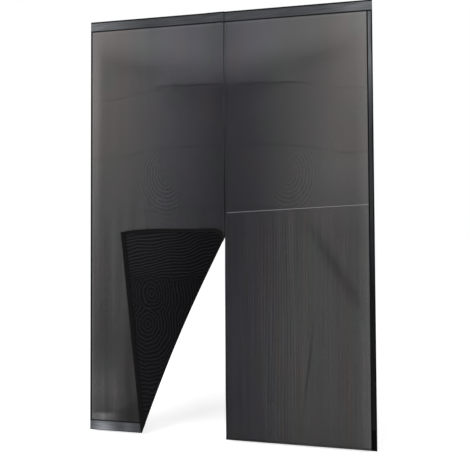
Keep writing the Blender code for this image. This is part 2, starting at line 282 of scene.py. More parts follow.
def tubeFaces(rings, sides):
    # quads round a run of rings, and one flat cap at either end
    cell = np.arange(rings * sides).reshape(rings, sides)
    beside = np.roll(cell, -1, axis=1)
    quads = np.stack([cell[:-1], beside[:-1], beside[1:], cell[1:]], axis=-1).reshape(-1, 4)
    return quads, np.stack([cell[0][::-1], cell[-1]])


def makeMesh(name, points, faces, looks, uv=None):
    # uv has one place on the flat cloth for each point
    data = bpy.data.meshes.new(name)
    data.from_pydata(points.reshape(-1, 3).tolist(), [], faces)
    for look in looks:
        data.materials.append(look)
    if uv is not None:
        order = np.empty(len(data.loops), np.int32)
        data.loops.foreach_get("vertex_index", order)
        layer = data.uv_layers.new(name="cloth")
        layer.data.foreach_set("uv", uv.reshape(-1, 2)[order].astype(np.float32).ravel())
    return data


def makePiece(name, data, node=None):
    # a mesh becomes a piece on the only body, and may stand for a CAD node
    piece = bpy.data.objects.new(name, data)
    bpy.context.scene.collection.objects.link(piece)
    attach(piece, "root")
    if node:
        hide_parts(node)
    return piece


def closeMesh(data, weld=0.0):
    # sews points nearer than weld together, then turns the faces outwards
    shape = bmesh.new()
    shape.from_mesh(data)
    if weld:
        bmesh.ops.remove_doubles(shape, verts=shape.verts, dist=weld)
    bmesh.ops.recalc_face_normals(shape, faces=shape.faces)
    shape.to_mesh(data)
    shape.free()


def clothPiece(name, grids, looks, wall, node=None):
    # grids = (points, uv, look number); cloth grids that share an edge are sewn into one sheet
    points = np.concatenate([grid.reshape(-1, 3) for grid, uv, kind in grids])
    uvs = np.concatenate([uv.reshape(-1, 2) for grid, uv, kind in grids])
    faces, kinds, first = [], [], 0
    for grid, uv, kind in grids:
        rows, columns = grid.shape[:2]
        faces += gridFaces(rows, columns, first).tolist()
        kinds += [kind] * (len(faces) - len(kinds))
        first += rows * columns
    data = makeMesh(name, points, faces, looks, uvs)
    data.polygons.foreach_set("material_index", kinds)
    closeMesh(data, 1e-5)
    data.shade_smooth()
    piece = makePiece(name, data, node)
    thick = piece.modifiers.new("wall", "SOLIDIFY")
    thick.thickness = wall
    thick.offset = 0.0
    thick.use_even_offset = True
    return piece


def steps(start, end, longest):
    # even places from start to end, no further apart than longest
    count = max(1, math.ceil(abs(end - start) / longest - 1e-6))
    return np.linspace(start, end, count + 1)


# Looks: a wrapped socket takes part in sums, and any node comes from node()


class Wire:
    def __init__(self, look, socket):
        self.look = look
        self.socket = socket

    def maths(self, operation, *values):
        return self.look.node("ShaderNodeMath", dict(enumerate(values)), operation=operation)

    def __add__(self, other):
        return self.maths("ADD", self, other)

    def __sub__(self, other):
        return self.maths("SUBTRACT", self, other)

    def __rsub__(self, other):
        return self.maths("SUBTRACT", other, self)

    def __mul__(self, other):
        return self.maths("MULTIPLY", self, other)

    def __truediv__(self, other):
        return self.maths("DIVIDE", self, other)

    def __rtruediv__(self, other):
        return self.maths("DIVIDE", other, self)

    def __pow__(self, other):
        return self.maths("POWER", self, other)

    def __rpow__(self, other):
        return self.maths("POWER", other, self)

    def __neg__(self):
        return self.maths("MULTIPLY", self, -1.0)

    def __abs__(self):
        return self.maths("ABSOLUTE", self)

    __radd__ = __add__
    __rmul__ = __mul__

    def sine(self):
        return self.maths("SINE", self)

    def wave(self, pitch):
        # 0 to 1 and back over each pitch
        return (self * (2 * math.pi / pitch)).sine() * 0.5 + 0.5

    def rise(self, start, end, low=0.0, high=1.0):
        # a smooth step from low at start to high at end
        return self.look.node("ShaderNodeMapRange", {0: self, 1: start, 2: end, 3: low, 4: high},
                              interpolation_type="SMOOTHSTEP")

    def line(self, start, end, low, high):
        # a straight run from low at start to high at end
        return self.look.node("ShaderNodeMapRange", {0: self, 1: start, 2: end, 3: low, 4: high})

    def between(self, start, full, ebb, end):
        # 1 from full to ebb, easing to 0 at start and end
        return self.rise(start, full) * self.rise(ebb, end, 1.0, 0.0)

    def hump(self, centre, width):
        # e^-(distance/width)^2
        away = (self - centre) / width
        return 2.718 ** (away * away * -1.0)


class Look:
    def __init__(self, name, roughness, gloss):
        self.made = bpy.data.materials.new(name)
        self.made.use_nodes = True
        self.tree = self.made.node_tree
        self.shader = self.tree.nodes["Principled BSDF"]
        self.set(Roughness=roughness, Specular_IOR_Level=gloss)

    def feed(self, socket, value):
        if isinstance(value, Wire):
            self.tree.links.new(value.socket, socket)
        else:
            socket.default_value = value

    def node(self, kind, sockets=None, out=0, **settings):
        made = self.tree.nodes.new(kind)
        for name, value in settings.items():
            setattr(made, name, value)
        for name, value in (sockets or {}).items():
            self.feed(made.inputs[name], value)
        return Wire(self, made.outputs[out])

    def parts(self, vector):
        split = self.node("ShaderNodeSeparateXYZ", {0: vector}).socket.node
        return [Wire(self, socket) for socket in split.outputs]

    def cloth(self):
        # metres across and up the flat cloth
        return self.parts(self.node("ShaderNodeUVMap", uv_map="cloth"))[:2]

    def place(self):
        return self.parts(self.node("ShaderNodeTexCoord", out="Object"))

    def noise(self, across, up, acrossScale, upScale, detail=2.0):
        spot = self.node("ShaderNodeCombineXYZ", {0: across * acrossScale, 1: up * upScale})
        return self.node("ShaderNodeTexNoise", {"Vector": spot, "Scale": 1.0, "Detail": detail})

    def mix(self, share, first, second):
        return self.node("ShaderNodeMix", {0: share, 6: first, 7: second}, out=2,
                         data_type="RGBA")

    def tone(self, level, colour):
        # a grey level times a colour
        grey = self.node("ShaderNodeCombineColor", {0: level, 1: level, 2: level})
        return self.node("ShaderNodeMix", {0: 1.0, 6: grey, 7: colour}, out=2,
                         data_type="RGBA", blend_type="MULTIPLY")

    def bump(self, height, distance, strength=1.0):
        normal = self.node("ShaderNodeBump", {"Strength": strength, "Distance": distance,
                                              "Height": height})
        self.feed(self.shader.inputs["Normal"], normal)

    def set(self, **sockets):
        for name, value in sockets.items():
            self.feed(self.shader.inputs[name.replace("_", " ")], value)
        return self.made


# Pitches, places and heights on the cloth are in metres; depths are shares of how light it is; the
# wing, middle, fold and slack depths are painted shade, and the painted share is the part of the
# painted light put into the threads' colour
netToneAndShade = dict(
    threadPitch=0.0014,
    thread=0.0075,
    turnedThread=0.0060,
    seeThrough=0.25,
    paintedShare=0.60,
    wingShadeDepth=0.12,
    middleShadeDepth=0.22,
    driftDepth=0.16,
    grainDepth=0.30,
    stripePitch=0.0142,
    stripeDepth=0.22,
    foldWidths=(0.030, 0.006),
    foldShadeDepths=(0.36, 0.44),
    slackDepth=0.42,
)
# painted shade of the creases, and the painted highlight on the slope over the topmost one
creaseShade = dict(
    lift=0.022,
    depth=0.21,
    belowSeam={-1: 0.55, 1: 0.0},
    lineHeight={-1: 1.826, 1: 1.813},
    lineWave=0.022,
    lineWidth=0.0038,
    lineDepth=0.38,
    slopeLift=0.20,
    wedgeDepth=0.07,
)
ringFinish = dict(
    pitch=0.0185,
    centre={-1: (-0.317, 1.359), 1: (0.325, 1.350)},
    reach={-1: 0.245, 1: 0.230},
    depth={-1: 0.26, 1: 0.18},
)
waveFinish = dict(
    pitch=0.0165,
    loopPitch=0.0158,
    loopCentres=((-0.385, -1.440), (-0.405, -1.600)),
)
tints = dict(
    middle=(0.97, 0.955, 1.17, 1.0),
    sides=(1.01, 0.995, 1.0, 1.0),
    upperSides=(1.085, 0.975, 0.955, 1.0),
    warmPatch=(1.07, 0.97, 1.0, 1.0),
    coolPatch=(0.95, 1.02, 0.99, 1.0),
    brownStreak=(1.20, 0.99, 0.85, 1.0),
    turned=(1.02, 0.955, 1.10, 1.0),
)


def panelLight(up, out, side):
    # painted light and shade: how light the cloth looks low down and under the header, from the
    # middle out to the sides
    if side < 0:
        outward = out.line(0.03, 0.60, 0.0, 0.74) + out.rise(0.678, 0.722, 0.0, 0.62)
        low = 0.028 + outward * up.line(0.45, 1.75, 0.024, 0.108)
        low = low + up.hump(0.22, 0.12) * out.rise(0.55, 0.62) * 0.032
        low = low + out.hump(0.668, 0.07) * up.rise(0.080, 0.100, 1.0, 0.0) * 0.13
        high = out.rise(-0.25, 0.34, 0.055, 0.134) + out.rise(0.34, 0.72, 0.0, 0.046)
        shade = up.hump(1.765, 0.075) * out.between(0.10, 0.17, 0.28, 0.40) * 0.13
        shade = shade + out.hump(0.662, 0.03) * up.between(0.35, 0.60, 0.95, 1.20) * 0.16
    else:
        upper = out.rise(0.05, 0.58) * 0.066 + out.rise(0.42, 0.60) * 0.014
        lower = out.rise(0.02, 0.44) * 0.037
        below = up.rise(1.00, 1.45, 1.0, 0.0)
        low = 0.030 + upper * (1.0 - below) + lower * below
        high = out.rise(-0.10, 0.25, 0.078, 0.128) + out.rise(0.25, 0.66, 0.0, 0.028)
        # here the shade counts below zero: a painted lighter patch
        shade = up.hump(1.715, 0.075) * out.between(0.02, 0.08, 0.22, 0.33) * -0.12
    share = (up - out * 0.25).rise(1.76, 1.98)
    light = low * (1.0 - share) + high * share
    # painted shade: a darker wing that climbs outwards, and a darker middle half way down
    wingShade = (up - out * 0.27).hump(1.80, 0.038) * out.between(0.30, 0.45, 0.58, 0.70)
    middleShade = up.hump(1.05, 0.38) * out.rise(0.15, 0.50, 1.0, 0.0)
    light = light * (1.0 - wingShade * netToneAndShade["wingShadeDepth"]) * (1.0 - middleShade * netToneAndShade["middleShadeDepth"])
    return light * (1.0 - shade)


def withCreases(look, light, across, up, out, side):
    # painted shade along the packing creases: dark lines a pitch apart that sag outwards and are
    # broken here and there
    foot = relief["creaseFoot"] + creaseShade["lift"]
    sag = out.line(relief["dropFrom"], relief["dropTo"], 0.0, 1.0) ** 2.0 * relief["creaseDrop"]
    counted = (up + sag - foot) / relief["creasePitch"] + 0.5
    nearest = abs(counted.maths("FRACT", counted) - 0.5) * relief["creasePitch"]
    broken = look.noise(across, up, 14.0, 6.0).rise(0.3, 0.5)
    crease = nearest.rise(0.001, 0.007, 1.0, 0.0) * broken
    # none right under the header, all above the cross seam, faint or gone below it
    crease = crease * up.rise(1.95, 2.05, 1.0, 0.0)
    crease = crease * up.rise(1.14, 1.17, creaseShade["belowSeam"][side], 1.0)
    light = light * (1.0 - crease * creaseShade["depth"])
    # the topmost one is a wavy line of painted shade in the middle, with a painted highlight on the
    # slope over it
    wave = (look.noise(across, up, 9.0, 0.0, 1.0) - 0.5) * creaseShade["lineWave"]
    over = up - wave - creaseShade["lineHeight"][side]
    inMiddle = out.rise(0.33, 0.42, 1.0, 0.0) * out.rise(0.03, 0.09, 0.25, 1.0)
    line = over.hump(0.0, creaseShade["lineWidth"]) * inMiddle
    slope = over.between(0.002, 0.008, 0.012, 0.110) * inMiddle
    light = light * (1.0 - line * creaseShade["lineDepth"])
    light = light * (1.0 + slope * creaseShade["slopeLift"])
    # and a wedge of painted shade hangs below it
    wedge = (over * 1.5 + 0.30 - out).rise(-0.05, 0.05)
    wedge = wedge * over.between(-0.190, -0.120, -0.006, 0.0)
    return light * (1.0 - wedge * creaseShade["wedgeDepth"])


def ringShare(look, across, up, side):
    # faint closed rings where two thread counts beat against each other, clearest low and outward
    centre, reach = ringFinish["centre"][side], ringFinish["reach"][side]
    dx = (across - centre[0]) * 1.15
    dz = (up - centre[1]) * 0.85
    away = (dx * dx + dz * dz) ** 0.5
    shown = away.rise(0.5 * reach, reach, 1.0, 0.0) * (dx * side - dz).rise(-0.12, 0.08, 0.2, 1.0)
    return (away * (2 * math.pi / ringFinish["pitch"])).sine() * shown * ringFinish["depth"][side]


def ridge(across, up, start, end, width):
    # 1 along the line from start to end, falling away to its sides and past its ends
    share, aside = fromLine(across, up, start, end)
    return aside.hump(0.0, width) * share.hump(0.5, 0.5)


def belowSeam(across, up):
    # 1 below the right panel's cross seam, 0 above it
    return (up - across * 0.0505).rise(1.125, 1.150, 1.0, 0.0)


def withThreadMarks(look, light, across, up, out, side):
    # slow drift, fine grain, upright streaks, painted shade along the soft folds and the rings
    drift = look.noise(across, up, 2.0, 1.1) - 0.5
    grain = look.noise(across, up, 150.0, 150.0, 1.0) - 0.5
    light = light * (1.0 + drift * netToneAndShade["driftDepth"])
    light = light * (1.0 + grain * netToneAndShade["grainDepth"])
    if side < 0:
        upright = look.noise(across + up * 0.01, up, 24.0, 0.7, 2.0) - 0.5
        light = light * (1.0 + upright * up.rise(0.9, 1.3, 1.3, 0.2))
    else:
        low = belowSeam(across, up)
        streaks = look.noise(across + up * 0.02, up, 34.0, 0.7, 3.0) * 0.4
        streaks = streaks + look.noise(across - up * 0.01, up, 90.0, 1.2, 1.0) * 0.6
        # regular fine stripes near the middle, where ripples of the two thread counts meet
        bent = look.noise(across, up, 7.0, 0.8, 0.0) * 22.0
        fine = (across * (2 * math.pi / netToneAndShade["stripePitch"]) + bent).sine()
        fine = fine * out.rise(0.02, 0.10) * out.rise(0.28, 0.44, 1.0, 0.30)
        light = light * (1.0 + fine * low * netToneAndShade["stripeDepth"])
        light = light * (1.0 + (streaks - 0.5) * low * out.rise(0.20, 0.55, 1.35, 0.75))
        # painted shade along the two soft folds on the right
        marks = zip(softFolds, netToneAndShade["foldWidths"], netToneAndShade["foldShadeDepths"])
        for (start, end), width, depth in marks:
            light = light * (1.0 - ridge(across, up, start, end, width) * depth)
    return light * (1.0 + ringShare(look, across, up, side))


def withPaleEdges(light, across, up, out, side):
    # the cloth lies double at its edges, and light comes round the outer ones
    if side < 0:
        light = light + out.rise(0.7325, 0.7345) * 0.048
        light = light + out.rise(0.64, 0.72) * up.rise(1.2, 1.9) * 0.032
        # a slack fold above the bottom band shades the cloth below it
        below = (across + 0.65) * 0.57 - (up - 0.07) * 0.82
        shaded = below.rise(-0.012, 0.030) * up.rise(0.12, 0.30, 1.0, 0.0)
        light = light * (1.0 - shaded * netToneAndShade["slackDepth"])
    else:
        light = light + out.rise(0.655, 0.722) * 0.037
        light = light + out.rise(0.50, 0.69) * up.rise(1.45, 2.0) * 0.048
    return light + up.rise(headerEdge - 0.014, headerEdge - 0.009) * 0.02


def netTint(look, across, up, out, side):
    # bluish in the middle, warmer to the sides, with broad faint patches
    cool = out.rise(0.10, 0.62) if side < 0 else out.rise(0.08, 0.40)
    tint = look.mix(cool, tints["middle"], tints["sides"])
    tint = look.mix(out.rise(0.42, 0.60) * up.rise(1.1, 1.6), tint, tints["upperSides"])
    patches = look.noise(across, up, 6.0, 4.0, 1.0) - 0.5
    tint = look.mix(patches.rise(0.03, 0.16) * 0.6, tint, tints["warmPatch"])
    tint = look.mix((-patches).rise(0.03, 0.16) * 0.6, tint, tints["coolPatch"])
    if side > 0:
        # brownish streaks between the upright ripples
        brown = look.noise(across, up, 30.0, 0.8, 1.0).rise(0.52, 0.66) * belowSeam(across, up)
        tint = look.mix(brown * 0.5, tint, tints["brownStreak"])
    return tint


def hangingNet(name, side):
    # black threads with small open holes; painted light and shade make the cloth lighter to the
    # sides and top, both in the holes and in the threads' colour
    look = Look(name, 0.85, 0.03)
    across, up = look.cloth()
    out = abs(across)
    warp = across.wave(netToneAndShade["threadPitch"])
    weft = up.wave(netToneAndShade["threadPitch"])
    light = panelLight(up, out, side)
    light = withCreases(look, light, across, up, out, side)
    light = withThreadMarks(look, light, across, up, out, side)
    light = withPaleEdges(light, across, up, out, side)

    # a part of the painted light passes between the threads, the rest is painted into the threads'
    # colour
    threads = (0.85 - warp * weft * 0.4) * netToneAndShade["thread"]
    paintedLight = light * ((1.0 - netToneAndShade["seeThrough"]) * netToneAndShade["paintedShare"])
    look.bump(warp + weft, 0.0002, 0.4)
    # light passes both faces of the wall, so each face lets the root of it through
    holes = warp * weft * 4.0
    passed = (light * holes * netToneAndShade["seeThrough"]) ** 0.5
    return look.set(Base_Color=look.tone(threads + paintedLight, netTint(look, across, up, out, side)),
                    Alpha=1.0 - passed)


def wayFrom(x, z, centre):
    # distance from a place, counted shorter up and down
    dx = x - centre[0]
    dz = (z - centre[1]) * 0.75
    return (dx * dx + dz * dz) ** 0.5


def turnedNet(name):
    # the same cloth lying double, so nearly nothing shows through and its threads beat in waves
    look = Look(name, 0.85, 0.03)
    across, up = look.cloth()
    x, y, z = look.place()
    warp = across.wave(netToneAndShade["threadPitch"])
    weft = up.wave(netToneAndShade["threadPitch"])
    rise = z + 1.45
    drift = look.noise(x, rise, 4.0, 2.6) * 34.0
    swell = look.noise(x, rise, 9.0, 5.5, 1.0) * 9.0
    crumpled = look.noise(x, rise, 22.0, 16.0, 1.0) * 7.0
    slanting = rise * (2 * math.pi / waveFinish["pitch"]) - x * 70.0 + drift + swell
    # further down they close into loops round two places
    ways = [wayFrom(x + drift * 0.001, z, centre) for centre in waveFinish["loopCentres"]]
    closed = ways[0].maths("MINIMUM", *ways) * (2 * math.pi / waveFinish["loopPitch"])
    closed = closed + swell * 1.2 + crumpled
    loops = z.rise(-1.40, -1.32, 1.0, 0.0)
    waves = (slanting.sine() * (1.0 - loops) + closed.sine() * loops * 0.8) * 0.5 + 0.5
    level = netToneAndShade["turnedThread"] * (0.62 + waves ** 3.0 * 1.25) * (1.25 - warp * weft)
    level = level * x.rise(-0.50, -0.05, 1.30, 0.55) * z.rise(-1.55, -1.10, 0.85, 1.15)
    look.bump(warp + weft, 0.0002)
    return look.set(Base_Color=look.tone(level, tints["turned"]), Alpha=0.985)


netLeft = hangingNet("left net cloth", -1)
netRight = hangingNet("right net cloth", 1)
netTurned = turnedNet("turned up net cloth")

# The two net panels
netGrid = dict(row=0.010, column=0.0105, rollRows=13, flapRows=70)


def leftNet():
    # rows across the panel up to the fold, and from each place on the fold a run down the cloth
    inner = -netEdge - screen["gap"]
    outer = netEdge - screen["panelWidth"]
    foldEnd = float(foldHeight(inner))
    foldRows = steps(foldEnd, netFoot, netGrid["row"])
    topRows = steps(screen["height"] - netEdge, foldEnd + netGrid["row"], netGrid["row"])
    heights = np.concatenate([topRows, foldRows])
    ends = np.where(heights > foldEnd, inner, foldX(heights))
    share = steps(0.0, 1.0, netGrid["column"] / (inner - outer))
    x = outer + np.outer(ends - outer, share)
    height = heights[:, None] + 0 * x
    hanging = (lifted(-1, x, height, 0 * x), np.stack([x, height], axis=-1), 0)

    # the turned corner goes straight down the cloth from each place on the fold
    rollDrop = math.pi * corner["foldRadius"] / -foldOut[1]
    length = foldRows - netFoot
    rolled = np.minimum(length[:, None], rollDrop * np.linspace(0.0, 1.0, netGrid["rollRows"]))
    share = np.linspace(0.0, 1.0, netGrid["flapRows"])[1:]
    beyond = np.outer(np.maximum(length - rollDrop, 0.0), share)
    drops = np.concatenate([rolled, rolled[:, -1:] + beyond], axis=1)
    x = np.where(foldRows < foldEnd, foldX(foldRows), inner)[:, None] + 0 * drops
    height = foldRows[:, None] - drops
    turned = (lifted(-1, x, height, 0 * x), np.stack([x, height], axis=-1), 1)
    return clothPiece("left_net_cloth", [hanging, turned], [netLeft, netTurned],
                      screen["netWall"], "left_net")


def rightNet():
    # one even grid over the whole panel
    inner = netEdge + screen["gap"]
    outer = screen["panelWidth"] - netEdge
    x, height = np.meshgrid(steps(inner, outer, netGrid["column"]),
                            steps(screen["height"] - netEdge, netFoot, netGrid["row"]))
    grid = (lifted(1, x, height, 0 * x), np.stack([x, height], axis=-1), 0)
    return clothPiece("right_net_cloth", [grid], [netRight], screen["netWall"],
                      "right_net")


leftCloth = leftNet()
rightCloth = rightNet()
print("net panels made")

# Bands, stitches and tapes: first their looks


def webbingLook(name, levelOver, width, edge, outerEdge=0.0032, innerEdge=0.0052, paintedEdgeLight=0.0):
    # ribbed webbing whose tone varies along and across it, with a bound edge on both sides that
    # is as dark as edge, and made paler by painted light from the header to half way down
    look = Look(name, 0.7, 0.04)
    along, inward = look.cloth()
    x, y, z = look.place()
    streak = look.noise(along, inward, 8.0, 230.0, 3.0)
    slow = look.noise(along, inward, 7.0, 90.0, 1.0)
    level = levelOver(x, z, inward) * (streak * 1.4 + slow * 0.7 - 0.05)
    bound = inward.rise(outerEdge - 0.001, outerEdge + 0.001)
    bound = bound * inward.rise(width - innerEdge - 0.001, width - innerEdge + 0.001, 1.0, 0.0)
    # painted light: the bound edge is paler towards the top
    if paintedEdgeLight:
        edge = z.rise(-0.86, -0.44, 0.0, paintedEdgeLight) + edge
    level = edge + (level - edge) * bound
    ridges = inward.wave(0.0016) * 0.6 + along.wave(0.0011) * 0.4
    level = level * (0.82 + ridges * 0.36)
    look.bump(ridges, 0.0003)
    return look.set(Base_Color=look.tone(level, (0.96, 1.0, 1.08, 1.0)))


def footClothLook(name, pale):
    # plain woven cloth, nearly black
    look = Look(name, 0.8, 0.04)
    along, inward = look.cloth()
    twill = (along + inward).wave(0.0013)
    wear = look.noise(along, inward, 30.0, 200.0)
    level = pale * (0.7 + twill * 0.3 + wear * 0.3)
    look.bump(twill, 0.0002)
    return look.set(Base_Color=look.tone(level, (0.98, 0.99, 1.05, 1.0)))


# How pale each band is, as x and z and the way in from its edge run over it
def headerTone(x, z, inward):
    return 0.044 + x.rise(0.0, 0.05, 0.0, 0.004) + abs(x).rise(0.42, 0.74, 0.0, 0.060)


def bottomTone(x, z, inward):
    # painted sheen highlight on the left end of the bottom band, fading to half inwards from its
    # edge
    paintedSheen = x.hump(-0.672, 0.056) * inward.rise(0.0, 0.050, 1.0, 0.50)
    return 0.050 + paintedSheen * 0.20 + x.hump(-0.535, 0.030) * 0.030


def sideTone(x, z, inward):
    return 0.0055 + z.rise(-1.45, -0.85, 0.0, 0.018) + z.rise(-0.66, -0.20, 0.0, 0.068)


headerLook = webbingLook("header webbing", headerTone, width=screen["headerHeight"], edge=0.009,
                         outerEdge=0.0088, innerEdge=0.0070)
bottomLook = webbingLook("bottom webbing", bottomTone, width=screen["bottomBand"], edge=0.004)
sideLook = webbingLook("right side webbing", sideTone, width=screen["rightSide"], edge=0.003,
                       outerEdge=0.0066, innerEdge=0.0064)
footLook = footClothLook("side foot cloth", 0.0008)


def joinTone(x, z, inward):
    # about as light as the net beside it, lighter towards the header
    return 0.0185 + z.rise(-1.2, -0.45, 0.0, 0.004) + z.rise(-0.40, -0.17, 0.0, 0.043)


def hemTone(x, z, inward):
    return 0.017 + x.rise(0.02, 0.44, 0.0, 0.021)


def outerTone(x, z, inward):
    return 0.034 + z.rise(-1.9, -0.4, 0.0, 0.070)


def turnedJoinTone(x, z, inward):
    # the same on the hanging part, and nearly black along the turned-up edge
    return joinTone(x, z, inward) * x.rise(-0.014, -0.012) + 0.003


# an edge below zero is left out
joinLook = webbingLook("inner edge webbing", joinTone, width=screen["innerBinding"], edge=0.008,
                       outerEdge=-0.1, innerEdge=0.0002)
lapLook = webbingLook("centre lap webbing", joinTone, width=1.0, edge=0.006, outerEdge=-0.1,
                      innerEdge=0.0)
leftInnerLook = webbingLook("left inner edge webbing", turnedJoinTone,
                            width=screen["innerBinding"], edge=0.004, outerEdge=0.0044,
                            innerEdge=-0.01, paintedEdgeLight=0.021)
hemLook = webbingLook("bottom hem cloth", hemTone, width=screen["bottomHem"], edge=0.008,
                      outerEdge=0.0010, innerEdge=0.0004)
outerLook = webbingLook("outer edge webbing", outerTone, width=screen["leftSide"], edge=0.003,
                        outerEdge=0.0082, innerEdge=0.0002)

# How finely the bands are made: points over a rib, round the turned edge and over the panel's
# fold, and the longest step along each band
bandGrid = dict(ribPoints=8, turnPoints=9, foldPoints=25)
acrossStep, uprightStep, hemStep = 0.008, 0.012, 0.010


def bandOver(node, side, place, rows, width, look, slot, ribs=0, ribHeight=0.0):
    # a band folded round an edge: ribbed front leaf, half-circle turn and flat back leaf;
    # ribs are rib height * (1 - cos(2 pi ribs share)) / 2
    turn = np.linspace(math.pi / 2, -math.pi / 2, bandGrid["turnPoints"])
    share = np.linspace(1.0, 0.0, bandGrid["ribPoints"] * max(ribs, 1) + 1)[:-1]
    raised = ribHeight * (0.5 - 0.5 * np.cos(2 * math.pi * ribs * share))
    leafShare = np.concatenate([share, np.zeros(len(turn)), [0.5, 1.0]])
    turnAway = turnDepth - leafLift * np.cos(turn)
    away = np.concatenate([np.full(len(share), turnDepth), turnAway, [turnDepth, turnDepth]])
    lift = np.concatenate([leafLift + raised, leafLift * np.sin(turn), [-leafLift, -leafLift]])

    edge = lifted(side, *place(np.zeros_like(rows), rows), 0 * rows)
    along = unit(np.gradient(edge, axis=0))
    inward = lifted(side, *place(np.full_like(rows, turnDepth), rows), 0 * rows) - edge
    inward -= (inward * along).sum(axis=1, keepdims=True) * along
    stretch = np.linalg.norm(inward, axis=1) / turnDepth
    flat = away[None] / stretch[:, None]
    flat = flat + leafShare[None] * (width - turnDepth / stretch[:, None])
    x, height = place(flat, rows[:, None] + 0 * flat)
    points = lifted(side, x, height, lift[None] + 0 * flat)
    # the back leaf's way in counts below zero, so that its look is plain
    inFront = np.arange(len(away)) <= len(share) + len(turn) // 2
    inwardWay = np.where(inFront, flat, -flat)
    lengthWay = np.concatenate([[0.0], np.cumsum(np.linalg.norm(np.diff(edge, axis=0), axis=1))])
    uv = np.stack([lengthWay[:, None] + 0 * flat, inwardWay], axis=-1)
    return clothPiece(node + "_cloth", [(points, uv, 0)], [look], screen["bandWall"],
                      node)


def nearFold(place, centre, turn):
    # 1 where a band crosses the fold, 0 further than the reach away
    first, last = centre - turn[0], centre + turn[1]
    reach = corner["turnReach"]
    return ramp(place, first - reach, first) * ramp(-place, -(last + reach), -last)


def leftInnerPlace(away, row):
    # down the inner edge; where it crosses the fold its rows lie along the fold
    crossing = nearFold(row, corner["foldTop"], corner["bindingTurn"])
    x = -screen["gap"] - away
    return x, row + (foldHeight(x) - corner["foldTop"]) * crossing


def leftBottomPlace(away, row):
    # along the bottom edge, the same way
    crossing = nearFold(row, -corner["foldRun"], corner["bandTurn"])
    return row + (foldX(away) + corner["foldRun"]) * crossing, away


def closeTo(start, end, longest, places):
    # places from start to end, no further apart than longest, closer over the turn in places
    run = steps(start, end, longest)
    extra = np.linspace(places[0], places[1], bandGrid["foldPoints"])
    every = np.unique(np.round(np.concatenate([run, extra]), 6))
    return every if start < end else every[::-1]


def acrossTop(away, row):
    return row, screen["height"] - away


def downRight(away, row):
    return panelWidth - away, row


panelWidth, gap, wall = screen["panelWidth"], screen["gap"], screen["bandWall"]
bandTop = headerEdge - gap
bandFoot = screen["bottomBand"]
rollRun = math.pi * corner["foldRadius"] / corner["foldTop"] * foldLength
rollFall = math.pi * corner["foldRadius"] / -foldOut[1]
hemEnd = panelWidth - screen["rightSide"] - gap

bands = {
    "left_header_band": dict(
        side=-1, place=acrossTop,
        rows=steps(wall - panelWidth, -gap, acrossStep), width=screen["headerHeight"],
        ribs=4, ribHeight=screen["headerRib"], look=headerLook, slot="webbing"),
    "right_header_band": dict(
        side=1, place=acrossTop,
        rows=steps(-screen["headerLap"], panelWidth, acrossStep), width=screen["headerHeight"],
        ribs=4, ribHeight=screen["headerRib"], look=headerLook, slot="webbing"),
    "left_side_binding": dict(
        side=-1, place=lambda away, row: (away - panelWidth, row),
        rows=steps(bandFoot + gap, bandTop, uprightStep), width=screen["leftSide"],
        ribs=1, ribHeight=screen["sideRib"], look=outerLook, slot="binding"),
    "right_side_binding": dict(
        side=1, place=downRight,
        rows=steps(screen["rightFoot"] + gap, bandTop, uprightStep), width=screen["rightSide"],
        ribs=2, ribHeight=screen["sideRib"], look=sideLook, slot="binding"),
    "right_side_binding_foot": dict(
        side=1, place=downRight,
        rows=steps(0.0, screen["rightFoot"], uprightStep), width=screen["rightSide"],
        ribs=2, ribHeight=screen["sideRib"], look=footLook, slot="binding"),
    "left_inner_binding": dict(
        side=-1, place=leftInnerPlace,
        rows=closeTo(bandTop, bandFoot + 4 * gap, uprightStep,
                     (corner["foldTop"] + 0.004, corner["foldTop"] - rollFall - 0.004)),
        width=screen["innerBinding"], look=leftInnerLook, slot="binding"),
    "right_inner_binding": dict(
        side=1, place=lambda away, row: (gap + away, row),
        rows=steps(bandTop, screen["bottomHem"] + gap, uprightStep),
        width=screen["innerBinding"], look=joinLook, slot="binding"),
    "left_bottom_band": dict(
        side=-1, place=leftBottomPlace,
        rows=closeTo(wall - panelWidth, -gap - wall, acrossStep,
                     (-corner["foldRun"] - 0.003, rollRun - corner["foldRun"] + 0.003)),
        width=bandFoot, ribs=3, ribHeight=screen["bottomRib"], look=bottomLook,
        slot="webbing"),
    "right_bottom_hem": dict(
        side=1, place=lambda away, row: (row, away),
        rows=steps(gap, hemEnd, hemStep), width=screen["bottomHem"], look=hemLook,
        slot="binding"),
}
bandPieces = {node: bandOver(node, **facts) for node, facts in bands.items()}
print("bands made")

# Stitches: one small thread ellipsoid after another along a row
stitch = dict(length=0.0030, step=0.0042, width=0.0006, height=0.0004, rings=5, sides=6,
              clearEnd=0.006, lift=0.0001, ribbedInset=0.0026, plainInset=0.0022)


def stitchRow(side, place, away, rows, lift):
    # centre + along * cos(t) + aside * sin(t)cos(s) + normal * sin(t)sin(s), all at once
    x, height = place(np.full_like(rows, away), rows)
    point, normal = clothFrame(side, x, height)
    aheadX, aheadHeight = place(np.full_like(rows, away), rows + 1e-4)
    along = unit(middle(side, aheadX, aheadHeight) - middle(side, x, height))
    aside = np.cross(normal, along)
    point = point + lift * normal
    t = np.linspace(0.04, math.pi - 0.04, stitch["rings"])[:, None]
    s = np.arange(stitch["sides"])[None] * 2 * math.pi / stitch["sides"]
    shape = np.stack([stitch["length"] / 2 * np.cos(t) + 0 * s,
                      stitch["width"] / 2 * np.sin(t) * np.cos(s),
                      stitch["height"] / 2 * np.sin(t) * np.sin(s)], axis=-1)
    turned = np.einsum("abk,nkj->nabj", shape, np.stack([along, aside, normal], axis=1))
    return (point[:, None, None] + turned).reshape(len(rows), -1, 3)


